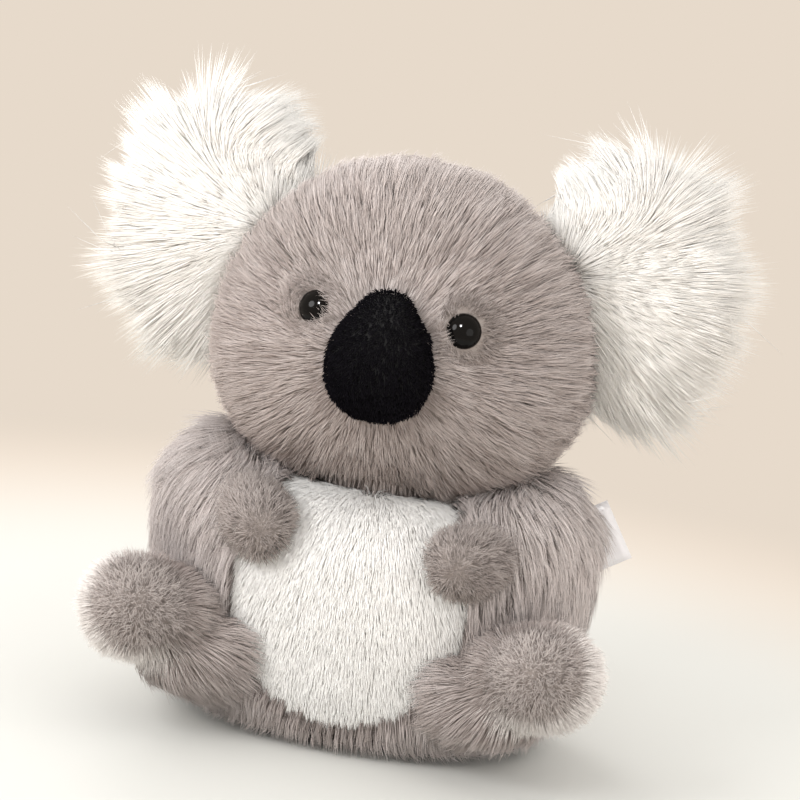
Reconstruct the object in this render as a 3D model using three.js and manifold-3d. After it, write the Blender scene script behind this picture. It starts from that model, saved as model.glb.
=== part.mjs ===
// A sitting plush koala: sewn panels of pile fabric over stuffing, with soft seams that flex
// at the neck, the ears, the shoulders and the hips. Millimetres, +Z up, the toy faces -Y,
// and its left side is +X. The origin lies on the flat seat.
import * as THREE from "three";
import { mergeVertices } from "three/addons/utils/BufferGeometryUtils.js";
import Module from "manifold-3d";

const wasm = await Module();
wasm.setup();

// Fabric and fits
const PILE = 6; // plush fabric with its standing pile
const SEAM_GAP = 0.3; // between two panels sewn edge to edge
const FILL_GAP = 0.3; // between a skin and what it is stuffed with
const JOIN_GAP = 0.3; // between two parts that meet at a soft seam
const NECK_GAP = 0.7; // around the neck plug, which turns in its sockets

// Torso
const BODY_HALF_WIDTH = 66;
const BODY_HALF_DEPTH = 50;
const BODY_HEIGHT = 82;
const BODY_LEAN = 8; // how far the chest stands forward of the seat
const SEAT_HALF_WIDTH = 51;
const SEAT_HALF_DEPTH = 41.5;
const BELLY_HALF_WIDTH = 34;
const BELLY_HALF_HEIGHT = 37;
const BELLY_CENTRE_Z = 50;
const BODY_OUTLINE = [
  [0.76, 0],
  [0.9, 0.06],
  [0.985, 0.22],
  [1, 0.4],
  [0.992, 0.6],
  [0.93, 0.78],
  [0.72, 0.9],
  [0.38, 0.965],
  [0, 1],
];

// Pellet bag in the seat
const BAG_HALF_WIDTH = 35;
const BAG_HALF_DEPTH = 28;
const BAG_HEIGHT = 15;
const BAG_OUTLINE = [
  [0, 0],
  [0.72, 0.02],
  [0.96, 0.3],
  [0.92, 0.66],
  [0.58, 0.93],
  [0, 1],
];

// Neck plug, whose dome is a ball about the neck's pivot
const NECK_Y = -3;
const NECK_DROP = 4; // from the body's top down to the pivot
const NECK_PIVOT_Z = BODY_HEIGHT - NECK_DROP;
const NECK_BALL = 27;
const NECK_STUB = 20;
const NECK_STUB_DEPTH = 18;

// Head
const HEAD_HALF_WIDTH = 57.5;
const HEAD_HALF_DEPTH = 47;
const HEAD_HEIGHT = 99;
const HEAD_SINK = 5; // how far the chin sits below the body's top
const HEAD_BOTTOM = BODY_HEIGHT - HEAD_SINK;
const HEAD_Y = -3;
const FACE_SEAM_Y = 13; // the seam that runs from ear to ear over the crown
const HEAD_OUTLINE = [
  [0, 0],
  [0.44, 0.025],
  [0.74, 0.095],
  [0.925, 0.19],
  [0.99, 0.3],
  [1, 0.41],
  [0.975, 0.52],
  [0.9, 0.645],
  [0.775, 0.765],
  [0.58, 0.88],
  [0.32, 0.968],
  [0, 1],
];

// Ears
const EAR_HALF_WIDTH = 40;
const EAR_HALF_HEIGHT = 50;
const EAR_FRONT_PILE = 11;
const EAR_BACK_PILE = 6;
const EAR_OUT = 11.5; // from the head's side out to the ear's middle
const EAR_DROP = 28; // from the crown down to the ear's middle
const EAR_X = HEAD_HALF_WIDTH + EAR_OUT;
const EAR_Z = HEAD_BOTTOM + HEAD_HEIGHT - EAR_DROP;
const EAR_HINGE_IN = 11; // from the head's side in to the ear's seam
const EAR_HINGE_DROP = 5; // from the ear's middle down to its hinge
const EAR_HINGE_X = HEAD_HALF_WIDTH - EAR_HINGE_IN;
const EAR_HINGE_Z = EAR_Z - EAR_HINGE_DROP;
const EAR_HINGE_TILT = 25;
const EAR_SWING = [-15, 30]; // forward and back
const EAR_OUTLINE = [
  [0, -1],
  [0.62, -0.9],
  [0.92, -0.5],
  [1, 0],
  [0.92, 0.5],
  [0.62, 0.9],
  [0, 1],
];

// Nose
const NOSE_HALF_WIDTH = 15.8;
const NOSE_HALF_HEIGHT = 19.5;
const NOSE_RISE = 10; // how far it stands out of the face
const NOSE_SINK = 4;
const NOSE_TAPER = 0.28; // how much narrower it is at its top
const NOSE_UP = 45.5; // from the chin up to the nose's middle
const NOSE_Z = HEAD_BOTTOM + NOSE_UP;
const NOSE_PILE = 2.5;

// Safety eyes
const EYE_RADIUS = 5.3;
const EYE_DOME = 4.2;
const EYE_SINK = 2;
const EYE_X = 22.5;
const EYE_UP = 56.5; // from the chin up to the eyes
const EYE_Z = HEAD_BOTTOM + EYE_UP;
const EYE_STEM_RADIUS = 2;
const EYE_STEM_END = 3.5; // stem past the washer
const WASHER_RADIUS = 7;
const WASHER_THICKNESS = 1.6;
const WASHER_SEAT = 1; // how far the washer beds into the fabric

// Arms
const SHOULDER_IN = 16; // from the body's side in to the shoulder
const SHOULDER_Y = -4;
const SHOULDER_DROP = 18; // from the body's top down to the shoulder
const PAW_AHEAD = 4; // from the belly out to the middle of a paw
const PAW_LEFT_X = 28.6;
const PAW_LEFT_DROP = 17; // from the body's top down to the paw
const PAW_RIGHT_X = 25.5;
const PAW_RIGHT_DROP = 14.5;
const ARM_LENGTH = 80;
const ARM_ROOT_ROUND = 17; // how far the shoulder's round end reaches behind it
const ARM_RADIUS = 21;
const ARM_HINGE_OUT = 3; // from the shoulder out to the hinge line
const ARM_HINGE_BACK = 9; // from the shoulder back to the hinge line
const ARM_HINGE_TILT = 22;
const ARM_SWING = [0, 50];
const SHOULDER_X = BODY_HALF_WIDTH - SHOULDER_IN;
const SHOULDER_Z = BODY_HEIGHT - SHOULDER_DROP;
const PAW_Y = -BODY_HALF_DEPTH - PAW_AHEAD;
const SHOULDER = [SHOULDER_X, SHOULDER_Y, SHOULDER_Z];
const PAW_LEFT = [PAW_LEFT_X, PAW_Y, BODY_HEIGHT - PAW_LEFT_DROP];
const PAW_RIGHT = [-PAW_RIGHT_X, PAW_Y, BODY_HEIGHT - PAW_RIGHT_DROP];
const ARM_HINGE = [SHOULDER_X + ARM_HINGE_OUT, SHOULDER_Y + ARM_HINGE_BACK, SHOULDER_Z];
const ARM_OUTLINE = [
  [0, 0],
  [0.6, 0.03],
  [0.95, 0.15],
  [1, 0.3],
  [0.93, 0.46],
  [0.72, 0.66],
  [0.72, 0.82],
  [0.52, 0.95],
  [0, 1],
];

// Legs
const HIP_IN = 32; // from the body's side in to the hip
const HIP_AHEAD = 12; // from the belly's front back to the hip
const HIP_Z = 25.5;
const FOOT_IN = 7; // from the body's side in to the middle of the foot
const FOOT_AHEAD = 3; // from the belly's front out to the middle of the foot
const FOOT_Z = 36.5;
const LEG_LENGTH = 70;
const LEG_ROOT_ROUND = 17;
const LEG_RADIUS = 19.5;
const LEG_HINGE_IN = 16; // from the body's side in to the hinge line
const LEG_HINGE_BACK = 24; // from the belly's front back to the hinge line
const LEG_SWING = [0, 35];
const HIP = [BODY_HALF_WIDTH - HIP_IN, HIP_AHEAD - BODY_HALF_DEPTH, HIP_Z];
const FOOT = [BODY_HALF_WIDTH - FOOT_IN, -BODY_HALF_DEPTH - FOOT_AHEAD, FOOT_Z];
const LEG_HINGE = [BODY_HALF_WIDTH - LEG_HINGE_IN, LEG_HINGE_BACK - BODY_HALF_DEPTH, HIP_Z];
const SOLE_ALONG = 0.62; // where the sole's seam crosses the leg
const SOLE_TILT = 38;
const LEG_OUTLINE = [
  [0, 0],
  [0.58, 0.04],
  [0.9, 0.16],
  [0.97, 0.32],
  [0.93, 0.48],
  [0.97, 0.64],
  [1, 0.76],
  [0.84, 0.91],
  [0.5, 0.98],
  [0, 1],
];

// Care label in the side seam
const LABEL_WIDTH = 20;
const LABEL_LENGTH = 33;
const LABEL_THICKNESS = 1.2;
const LABEL_IN = 19; // from the body's side in to where the label is sewn
const LABEL_AHEAD = 30; // from the back forward to where it is sewn
const LABEL_DROP = 27; // from the body's top down to where it is sewn
const LABEL_SEWN_AT = [BODY_HALF_WIDTH - LABEL_IN, BODY_HALF_DEPTH - LABEL_AHEAD, BODY_HEIGHT - LABEL_DROP];
const LABEL_TILT = 28; // how far it stands up, in degrees

// Facets of the curved forms
const OUTSIDE = { sides: 24, steps: 14 };
const INSIDE = { sides: 16, steps: 8 };
const LIMB_OUTSIDE = { sides: 16, steps: 11 };
const LIMB_INSIDE = { sides: 10, steps: 7 };
const EYE_SIDES = 12;
const EYE_STEPS = 4;
const NECK_STEPS = 6;
const OVAL_STEPS = 12;
const SWEEP_STEP = 9; // degrees between the places where a moving part is cleared
const FAR = 300; // reach of a cutting block

const DEGREE = Math.PI / 180;
const UP = new THREE.Vector3(0, 0, 1);

const GREY_FUR = new THREE.MeshStandardMaterial({ color: 0x9c9089, roughness: 0.95, metalness: 0 });
const WHITE_FUR = new THREE.MeshStandardMaterial({ color: 0xf0ece4, roughness: 0.95, metalness: 0 });
const BLACK_FLEECE = new THREE.MeshStandardMaterial({ color: 0x16151a, roughness: 0.9, metalness: 0 });
const BLACK_PLASTIC = new THREE.MeshStandardMaterial({ color: 0x0b0b0c, roughness: 0.08, metalness: 0 });
const CLEAR_NYLON = new THREE.MeshStandardMaterial({ color: 0xe9e6dc, roughness: 0.4, metalness: 0 });
const STUFFING = new THREE.MeshStandardMaterial({ color: 0xf6f5f1, roughness: 1, metalness: 0 });
const CALICO = new THREE.MeshStandardMaterial({ color: 0xd9d0bd, roughness: 0.9, metalness: 0 });
const SATIN = new THREE.MeshStandardMaterial({ color: 0xefeeec, roughness: 0.45, metalness: 0 });

// A solid from a closed geometry: shared corners are merged and collapsed triangles dropped
function solidOf(geometry) {
  const bare = new THREE.BufferGeometry();
  bare.setAttribute("position", geometry.getAttribute("position"));
  bare.setIndex(geometry.getIndex());
  const merged = mergeVertices(bare, 1e-4);
  const corners = merged.getIndex().array;
  const triVerts = [];
  for (let i = 0; i < corners.length; i += 3) {
    const [a, b, c] = corners.slice(i, i + 3);
    if (a !== b && b !== c && c !== a) {
      triVerts.push(a, b, c);
    }
  }
  return new wasm.Manifold(
    new wasm.Mesh({
      numProp: 3,
      vertProperties: Float32Array.from(merged.getAttribute("position").array),
      triVerts: Uint32Array.from(triVerts),
    }),
  );
}

function geometryOf(solid) {
  const { vertProperties, triVerts } = solid.getMesh();
  const geometry = new THREE.BufferGeometry();
  geometry.setAttribute("position", new THREE.BufferAttribute(Float32Array.from(vertProperties), 3));
  geometry.setIndex(new THREE.BufferAttribute(Uint32Array.from(triVerts), 1));
  return geometry;
}

// A copy of a solid, moved or mirrored; a mirrored copy has its triangles turned round
function moved(solid, matrix) {
  const geometry = geometryOf(solid).applyMatrix4(matrix);
  if (matrix.determinant() < 0) {
    geometry.getIndex().array.reverse();
  }
  return solidOf(geometry);
}

const MIRROR = new THREE.Matrix4().makeScale(-1, 1, 1);

// A smooth outline of [radius, height] points through the stations given
function smoothOutline(stations, steps) {
  const curve = new THREE.SplineCurve(stations.map(([r, z]) => new THREE.Vector2(r, z)));
  const points = curve.getPoints(steps);
  points.forEach((p) => {
    p.x = Math.max(p.x, 0);
  });
  return points;
}

// A closed form turned about Z, from an outline that starts and ends on the axis
function turned(points, sides) {
  const ends = [...points];
  if (ends[0].x > 0) {
    ends.unshift(new THREE.Vector2(0, ends[0].y));
  }
  ends[ends.length - 1].x = 0;
  return new THREE.LatheGeometry(ends, sides).rotateX(Math.PI / 2);
}

function smoothTurned(stations, facets) {
  return turned(smoothOutline(stations, facets.steps), facets.sides);
}

// Moves every corner of a geometry by a rule
function reshaped(geometry, rule) {
  const at = geometry.getAttribute("position");
  const point = new THREE.Vector3();
  for (let i = 0; i < at.count; i += 1) {
    point.fromBufferAttribute(at, i);
    rule(point);
    at.setXYZ(i, point.x, point.y, point.z);
  }
  return geometry;
}

// The torso's pear, inset from its surface; a negative inset is a form that clears it
function bodyForm(inset, facets) {
  const pear = smoothTurned(BODY_OUTLINE, facets);
  reshaped(pear, (p) => {
    p.x *= BODY_HALF_WIDTH - inset;
    p.y = p.y * (BODY_HALF_DEPTH - inset) - BODY_LEAN * p.z;
    p.z = inset + p.z * (BODY_HEIGHT - 2 * inset);
  });
  return solidOf(pear);
}

function headForm(inset, facets) {
  const form = smoothTurned(HEAD_OUTLINE, facets);
  reshaped(form, (p) => {
    p.x *= HEAD_HALF_WIDTH - inset;
    p.y = p.y * (HEAD_HALF_DEPTH - inset) + HEAD_Y;
    p.z = HEAD_BOTTOM + inset + p.z * (HEAD_HEIGHT - 2 * inset);
  });
  return solidOf(form);
}

// The way a limb points, from its root to its paw or foot
function limbAlong(limb) {
  return new THREE.Vector3(...limb.end).sub(new THREE.Vector3(...limb.root)).normalize();
}

// A limb that swells and tapers from its rounded root to its tip
function limbForm(limb, inset, facets) {
  const form = smoothTurned(limb.outline, facets);
  const along = limbAlong(limb);
  reshaped(form, (p) => {
    p.x *= limb.radius - inset;
    p.y *= limb.radius - inset;
    p.z = inset - limb.rootRound + p.z * (limb.length - 2 * inset);
  });
  form.applyQuaternion(new THREE.Quaternion().setFromUnitVectors(UP, along));
  form.translate(...limb.root);
  return solidOf(form);
}

// A straight block, from its lowest to its highest corner
function block(low, high) {
  const size = high.map((value, i) => value - low[i]);
  const box = new THREE.BoxGeometry(...size);
  return solidOf(box.translate(...low.map((value, i) => value + size[i] / 2)));
}

// A prism of an ellipse, standing on Z = 0
function ovalPrism(halfA, halfB, length) {
  const oval = new THREE.Shape().absellipse(0, 0, halfA, halfB, 0, 2 * Math.PI);
  return new THREE.ExtrudeGeometry(oval, { depth: length, bevelEnabled: false, curveSegments: OVAL_STEPS });
}

// A turn about a hinge line
function turnAbout(hinge, degrees) {
  const [x, y, z] = hinge.at;
  const turn = new THREE.Matrix4().makeRotationAxis(hinge.axis, degrees * DEGREE);
  return new THREE.Matrix4()
    .makeTranslation(x, y, z)
    .multiply(turn)
    .multiply(new THREE.Matrix4().makeTranslation(-x, -y, -z));
}

// Cuts a moving part clear of what it turns against, all the way through its swing
function clearedOf(part, obstacle, hinge, [from, to]) {
  const steps = Math.ceil((to - from) / SWEEP_STEP);
  let left = part;
  for (let i = 0; i <= steps; i += 1) {
    const degrees = from + ((to - from) * i) / steps;
    left = left.subtract(moved(obstacle, turnAbout(hinge, -degrees)));
  }
  return left;
}

const koala = new THREE.Group();

function add(name, solid, material) {
  const mesh = new THREE.Mesh(geometryOf(solid), material);
  mesh.name = name;
  koala.add(mesh);
}

// Adds a left piece and its mirror image
function addPair(nameFor, solid, material) {
  add(nameFor("left"), solid, material);
  add(nameFor("right"), moved(solid, MIRROR), material);
}

const bodyOuter = bodyForm(0, OUTSIDE);
const bodyClear = bodyForm(-JOIN_GAP, OUTSIDE);
const headOuter = headForm(0, OUTSIDE);
const headClear = headForm(-JOIN_GAP, OUTSIDE);

// Neck plug: a stub in the torso's neck opening under a dome in the head
const neckShoulder = BODY_HEIGHT + JOIN_GAP;
const shoulderAngle = Math.asin((neckShoulder - NECK_PIVOT_Z) / NECK_BALL);
const neckDome = new THREE.EllipseCurve(
  0, NECK_PIVOT_Z, NECK_BALL, NECK_BALL, shoulderAngle, Math.PI / 2,
).getPoints(NECK_STEPS);
const neckFoot = NECK_PIVOT_Z - NECK_STUB_DEPTH;
const neckOutline = [
  new THREE.Vector2(0, neckFoot),
  new THREE.Vector2(NECK_STUB, neckFoot),
  new THREE.Vector2(NECK_STUB, neckShoulder),
  ...neckDome,
];
add("neck_plug", solidOf(turned(neckOutline, OUTSIDE.sides).translate(0, NECK_Y, 0)), STUFFING);

const neckHole = solidOf(
  new THREE.CylinderGeometry(NECK_STUB + NECK_GAP, NECK_STUB + NECK_GAP, FAR, OUTSIDE.sides)
    .rotateX(Math.PI / 2)
    .translate(0, NECK_Y, neckFoot - FILL_GAP + FAR / 2),
);
const neckSocket = solidOf(
  new THREE.SphereGeometry(NECK_BALL + NECK_GAP, OUTSIDE.sides, OUTSIDE.steps)
    .rotateX(Math.PI / 2)
    .translate(0, NECK_Y, NECK_PIVOT_Z),
);

// Torso skin: back and sides, white belly and flat seat, with the neck opening at the top
const bodySkin = bodyOuter.subtract(bodyForm(PILE, INSIDE)).subtract(neckHole);
function seatPrism(grow) {
  const prism = ovalPrism(SEAT_HALF_WIDTH + grow, SEAT_HALF_DEPTH + grow, 4 * PILE);
  return solidOf(prism.translate(0, 0, -2 * PILE));
}
function bellyPrism(grow) {
  const prism = ovalPrism(BELLY_HALF_WIDTH + grow, BELLY_HALF_HEIGHT + grow, FAR);
  return solidOf(prism.rotateX(Math.PI / 2).translate(0, 0, BELLY_CENTRE_Z));
}
const seat = bodySkin.intersect(seatPrism(0));
const aboveSeat = bodySkin.subtract(seatPrism(SEAM_GAP));
add("seat_panel", seat, GREY_FUR);
add("belly_panel", aboveSeat.intersect(bellyPrism(0)), WHITE_FUR);
add("body_back_panel", aboveSeat.subtract(bellyPrism(SEAM_GAP)), GREY_FUR);

// Filling of the torso: a pellet bag on the seat, and stuffing over it up to the neck plug
function bagForm(grow) {
  const bag = smoothTurned(BAG_OUTLINE, INSIDE);
  reshaped(bag, (p) => {
    p.x *= BAG_HALF_WIDTH + grow;
    p.y *= BAG_HALF_DEPTH + grow;
    p.z = PILE + FILL_GAP - grow + p.z * (BAG_HEIGHT + 2 * grow);
  });
  return solidOf(bag);
}
add("pellet_bag", bagForm(0), CALICO);
add(
  "body_stuffing",
  bodyForm(PILE + FILL_GAP, INSIDE).subtract(bagForm(FILL_GAP)).subtract(neckHole),
  STUFFING,
);

// Care label: a flat folded tab that stands out of the left side seam
const labelTab = new THREE.BoxGeometry(LABEL_LENGTH, LABEL_THICKNESS, LABEL_WIDTH)
  .translate(LABEL_LENGTH / 2, 0, 0)
  .rotateY(-LABEL_TILT * DEGREE)
  .translate(...LABEL_SEWN_AT);
add("care_label", solidOf(labelTab).subtract(bodyClear), SATIN);

// The face's surface at a place seen from the front, and the way it faces there
const headCurve = smoothOutline(HEAD_OUTLINE, 200);
function headShare(z) {
  const height = (z - HEAD_BOTTOM) / HEAD_HEIGHT;
  const above = headCurve.findIndex((p) => p.y > height);
  const [low, high] = [headCurve[above - 1], headCurve[above]];
  return low.x + ((high.x - low.x) * (height - low.y)) / (high.y - low.y);
}
function faceY(x, z) {
  const share = headShare(z);
  return HEAD_Y - HEAD_HALF_DEPTH * Math.sqrt(share ** 2 - (x / HEAD_HALF_WIDTH) ** 2);
}
function faceNormal(x, z) {
  const step = 0.5;
  const slopeX = (faceY(x + step, z) - faceY(x - step, z)) / (2 * step);
  const slopeZ = (faceY(x, z + step) - faceY(x, z - step)) / (2 * step);
  return new THREE.Vector3(slopeX, -1, slopeZ).normalize();
}

// Safety eyes: the dome beds in the pile, its stem goes through the fabric into a lock washer
const eyeFacing = new THREE.Quaternion().setFromUnitVectors(UP, faceNormal(EYE_X, EYE_Z));
function onEye(pairs) {
  const outline = pairs.map(([r, z]) => new THREE.Vector2(r, z));
  const form = turned(outline, EYE_SIDES).translate(0, 0, -EYE_SINK);
  form.applyQuaternion(eyeFacing);
  return solidOf(form.translate(EYE_X, faceY(EYE_X, EYE_Z), EYE_Z));
}
// A plain round plug or hole on the eye's axis
function eyeDrum(radius, from, to) {
  return onEye([
    [0, from],
    [radius, from],
    [radius, to],
    [0, to],
  ]);
}
const washerTop = EYE_SINK - PILE + WASHER_SEAT;
const washerFoot = washerTop - WASHER_THICKNESS;
const stemEnd = washerFoot - EYE_STEM_END;
const eyeDome = new THREE.EllipseCurve(0, 0, EYE_RADIUS, EYE_DOME, 0, Math.PI / 2).getPoints(EYE_STEPS);
const eye = onEye([
  [0, stemEnd],
  [EYE_STEM_RADIUS, stemEnd],
  [EYE_STEM_RADIUS, 0],
  ...eyeDome.map((p) => [p.x, p.y]),
]);
const stemHole = EYE_STEM_RADIUS + FILL_GAP;
const pocketFoot = stemEnd - FILL_GAP;
const washer = eyeDrum(WASHER_RADIUS, washerFoot, washerTop).subtract(eyeDrum(stemHole, -FAR, FAR));
const eyeCuts = eyeDrum(EYE_RADIUS + FILL_GAP, -FILL_GAP, PILE)
  .add(eyeDrum(WASHER_RADIUS + FILL_GAP, pocketFoot, washerTop + FILL_GAP))
  .add(eyeDrum(stemHole, pocketFoot, PILE));
const bothEyeCuts = eyeCuts.add(moved(eyeCuts, MIRROR));
addPair((side) => `eye_${side}`, eye, BLACK_PLASTIC);
addPair((side) => `eye_washer_${side}`, washer, CLEAR_NYLON);

// Head skin: a face panel and a back panel that meet in the seam over the crown
const headSkin = headOuter.subtract(headForm(PILE, INSIDE)).subtract(neckSocket).subtract(bothEyeCuts);
const inFront = block([-FAR, -FAR, -FAR], [FAR, FACE_SEAM_Y - SEAM_GAP / 2, FAR]);
const behind = block([-FAR, FACE_SEAM_Y + SEAM_GAP / 2, -FAR], [FAR, FAR, FAR]);
add("face_panel", headSkin.intersect(inFront), GREY_FUR);
add("head_back_panel", headSkin.intersect(behind), GREY_FUR);
add(
  "head_stuffing",
  headForm(PILE + FILL_GAP, INSIDE).subtract(neckSocket).subtract(bothEyeCuts),
  STUFFING,
);

// Nose: a black fleece cover over its own stuffing, sewn to the face all round
function noseForm(inset) {
  const depth = NOSE_RISE + NOSE_SINK - inset;
  const egg = new THREE.SphereGeometry(1, LIMB_OUTSIDE.sides, INSIDE.steps);
  reshaped(egg, (p) => {
    p.x *= (NOSE_HALF_WIDTH - inset) * (1 - NOSE_TAPER * p.z);
    p.y *= depth;
    p.z *= NOSE_HALF_HEIGHT - inset;
  });
  return solidOf(egg.translate(0, faceY(0, NOSE_Z) + NOSE_SINK, NOSE_Z));
}
add("nose_cover", noseForm(0).subtract(noseForm(NOSE_PILE)).subtract(headClear), BLACK_FLEECE);
add("nose_stuffing", noseForm(NOSE_PILE + FILL_GAP).subtract(headClear), STUFFING);

// Ears: a long-pile front and a short-pile back, hinged where they are sewn into the crown seam
const earHinge = {
  at: [EAR_HINGE_X, FACE_SEAM_Y, EAR_HINGE_Z],
  axis: new THREE.Vector3(-Math.sin(EAR_HINGE_TILT * DEGREE), 0, Math.cos(EAR_HINGE_TILT * DEGREE)),
};
const earDisc = new THREE.LatheGeometry(smoothOutline(EAR_OUTLINE, INSIDE.steps), OUTSIDE.sides);
reshaped(earDisc, (p) => {
  p.x = EAR_X + p.x * EAR_HALF_WIDTH;
  p.y = FACE_SEAM_Y + p.y * (p.y < 0 ? EAR_FRONT_PILE : EAR_BACK_PILE);
  p.z = EAR_Z + p.z * EAR_HALF_HEIGHT;
});
const ear = clearedOf(solidOf(earDisc), headClear, earHinge, EAR_SWING);
addPair((side) => `ear_${side}_front`, ear.intersect(inFront), WHITE_FUR);
addPair((side) => `ear_${side}_back`, ear.intersect(behind), GREY_FUR);

// Arms: a sleeve open where it is sewn to the shoulder, and its stuffing
const armHinge = {
  at: ARM_HINGE,
  axis: new THREE.Vector3(-Math.sin(ARM_HINGE_TILT * DEGREE), 0, Math.cos(ARM_HINGE_TILT * DEGREE)),
};
// Each arm is shaped as a left one, and the right one is then mirrored to its own side
for (const [side, paw, toSide] of [
  ["left", PAW_LEFT, new THREE.Matrix4()],
  ["right", PAW_RIGHT, MIRROR],
]) {
  const arm = {
    root: SHOULDER,
    end: [Math.abs(paw[0]), paw[1], paw[2]],
    length: ARM_LENGTH,
    rootRound: ARM_ROOT_ROUND,
    radius: ARM_RADIUS,
    outline: ARM_OUTLINE,
  };
  const outer = clearedOf(limbForm(arm, 0, LIMB_OUTSIDE), bodyClear, armHinge, ARM_SWING);
  const fill = clearedOf(limbForm(arm, PILE + FILL_GAP, LIMB_INSIDE), bodyClear, armHinge, ARM_SWING);
  const sleeve = outer.subtract(limbForm(arm, PILE, LIMB_INSIDE));
  add(`arm_${side}_sleeve`, moved(sleeve, toSide), GREY_FUR);
  add(`arm_${side}_stuffing`, moved(fill, toSide), STUFFING);
}

// Legs: an upper and a sole panel sewn round the foot, and their stuffing
const leg = {
  root: HIP,
  end: FOOT,
  length: LEG_LENGTH,
  rootRound: LEG_ROOT_ROUND,
  radius: LEG_RADIUS,
  outline: LEG_OUTLINE,
};
const legHinge = { at: LEG_HINGE, axis: UP };
const legOuter = clearedOf(limbForm(leg, 0, LIMB_OUTSIDE), bodyClear, legHinge, LEG_SWING);
const legSkin = legOuter.subtract(limbForm(leg, PILE, LIMB_INSIDE));
const legFill = clearedOf(limbForm(leg, PILE + FILL_GAP, LIMB_INSIDE), bodyClear, legHinge, LEG_SWING);
const legAlong = limbAlong(leg);
const soleCentre = new THREE.Vector3(...HIP).addScaledVector(
  legAlong,
  SOLE_ALONG * LEG_LENGTH - LEG_ROOT_ROUND,
);
const soleAxis = new THREE.Vector3(-legAlong.y, legAlong.x, 0).normalize();
const soleFacing = legAlong.clone().applyAxisAngle(soleAxis, -SOLE_TILT * DEGREE);
const soleTurn = new THREE.Quaternion().setFromUnitVectors(UP, soleFacing);
function soleSide(from, to) {
  const slab = new THREE.BoxGeometry(2 * FAR, 2 * FAR, to - from).translate(0, 0, (from + to) / 2);
  return solidOf(slab.applyQuaternion(soleTurn).translate(soleCentre.x, soleCentre.y, soleCentre.z));
}
addPair((side) => `leg_${side}_upper`, legSkin.intersect(soleSide(-FAR, -SEAM_GAP / 2)), GREY_FUR);
addPair((side) => `leg_${side}_sole`, legSkin.intersect(soleSide(SEAM_GAP / 2, FAR)), GREY_FUR);
addPair((side) => `leg_${side}_stuffing`, legFill, STUFFING);

export default koala;
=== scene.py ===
import math

import bmesh
import bpy
import numpy as np
from mathutils import Matrix, Vector
from mathutils.bvhtree import BVHTree


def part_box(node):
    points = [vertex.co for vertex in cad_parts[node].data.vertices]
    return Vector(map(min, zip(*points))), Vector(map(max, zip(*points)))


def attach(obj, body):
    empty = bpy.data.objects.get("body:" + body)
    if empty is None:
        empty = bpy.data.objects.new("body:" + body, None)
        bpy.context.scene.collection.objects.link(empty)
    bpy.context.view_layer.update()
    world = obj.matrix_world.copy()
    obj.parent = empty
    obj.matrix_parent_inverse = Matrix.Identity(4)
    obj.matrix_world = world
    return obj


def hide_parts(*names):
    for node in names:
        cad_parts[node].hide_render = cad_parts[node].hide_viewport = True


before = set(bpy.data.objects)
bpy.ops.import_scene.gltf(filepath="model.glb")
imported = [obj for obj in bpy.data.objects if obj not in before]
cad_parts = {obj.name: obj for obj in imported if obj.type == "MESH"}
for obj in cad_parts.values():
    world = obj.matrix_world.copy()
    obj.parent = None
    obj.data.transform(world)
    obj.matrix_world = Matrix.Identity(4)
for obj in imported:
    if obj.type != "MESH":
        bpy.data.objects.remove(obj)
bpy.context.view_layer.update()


# Body skin: the knitted polyester backing of the body, sewn from a back, a belly and a seat panel.
# The filled form is blown up as cloth, drawn up to the chin, and cut along the seams of the CAD panels.
WELD_WITHIN = 1e-6


def added(name, data):
    """A new object of a mesh, lamp or camera, in the scene."""
    made = bpy.data.objects.new(name, data)
    bpy.context.scene.collection.objects.link(made)
    return made


def built(name, form):
    """A new object of what was modelled in form."""
    mesh = bpy.data.meshes.new(name)
    form.to_mesh(mesh)
    form.free()
    return added(name, mesh)


def joined(name, nodes):
    """One mesh object made of copies of CAD nodes."""
    form = bmesh.new()
    for node in nodes:
        form.from_mesh(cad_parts[node].data)
    bmesh.ops.remove_doubles(form, verts=form.verts, dist=WELD_WITHIN)
    return built(name, form)


def shaped(obj, *steps):
    """The object with the modifiers in steps, (kind, settings), taken into its mesh."""
    for kind, settings in steps:
        modifier = obj.modifiers.new(kind, kind)
        for key, value in settings.items():
            setattr(modifier, key, value)
    graph = bpy.context.evaluated_depsgraph_get()
    mesh = bpy.data.meshes.new_from_object(obj.evaluated_get(graph))
    obj.modifiers.clear()
    obj.data = mesh
    mesh.name = obj.name
    mesh.shade_smooth()
    return obj


def places(obj):
    """The vertices and their normals, as two arrays."""
    flat = np.empty(len(obj.data.vertices) * 3, np.float32)
    obj.data.vertices.foreach_get("co", flat)
    turned = np.empty_like(flat)
    obj.data.vertex_normals.foreach_get("vector", turned)
    return flat.reshape(-1, 3).astype(float), turned.reshape(-1, 3).astype(float)


def put(obj, points):
    """The object with its vertices moved to points."""
    obj.data.vertices.foreach_set("co", np.asarray(points, np.float32).ravel())
    obj.data.update()
    return obj


def smooth(value, start, end):
    """A share that grows smoothly from 0 at start to 1 at end, which may also be the smaller one."""
    share = np.clip((value - start) / (end - start), 0, 1)
    return share * share * (3 - 2 * share)


# The fabric is cut wider than puff needs, by this many times, so that the pressure can fill it.
CLOTH_ROOM = 3
CLOTH_PRESSURE = 20
CLOTH_FRAMES = 20


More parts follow.
